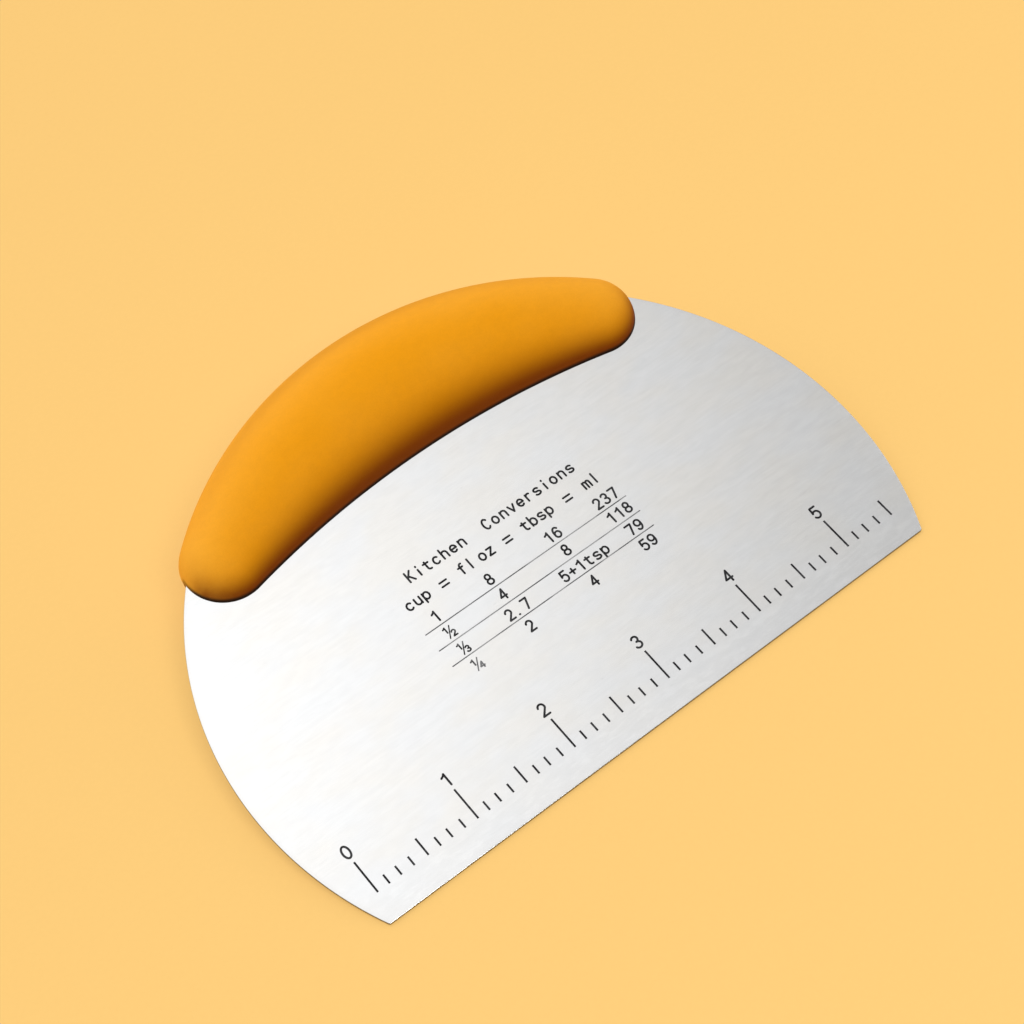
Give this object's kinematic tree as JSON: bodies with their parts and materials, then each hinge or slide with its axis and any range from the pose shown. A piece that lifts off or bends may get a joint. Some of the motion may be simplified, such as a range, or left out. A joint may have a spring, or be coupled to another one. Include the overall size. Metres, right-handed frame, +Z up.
{
  "type": "bench scraper",
  "caption": "Bench scraper with a D-shaped satin steel blade, a straight scraping edge and a curved soft grip, for cutting and lifting dough and clearing a bench.",
  "frame": {"origin": "on the bench plane, under the middle of the scraper's box as it lies on its back", "axes": "+X along the scraping edge to the right as seen from the front, +Y from the scraping edge towards the grip along the bench, +Z up; the blade's front face looks up and leans 8.3 degrees towards -Y, because the grip's underside holds that end off the bench"},
  "size_m": [0.1606, 0.1154, 0.0295],
  "materials": {
    "blade_steel": "satin",
    "rivet_steel": "satin",
    "core_plastic": "matte",
    "soft_grip": "matte",
    "printed_ink": "matte"
  },
  "bodies": {
    "root": {"blade": "blade_steel", "core_front": "core_plastic", "core_back": "core_plastic", "rivet_1": "rivet_steel", "rivet_2": "rivet_steel", "rivet_3": "rivet_steel", "rivet_4": "rivet_steel", "grip": "soft_grip"}
  },
  "joints": []
}
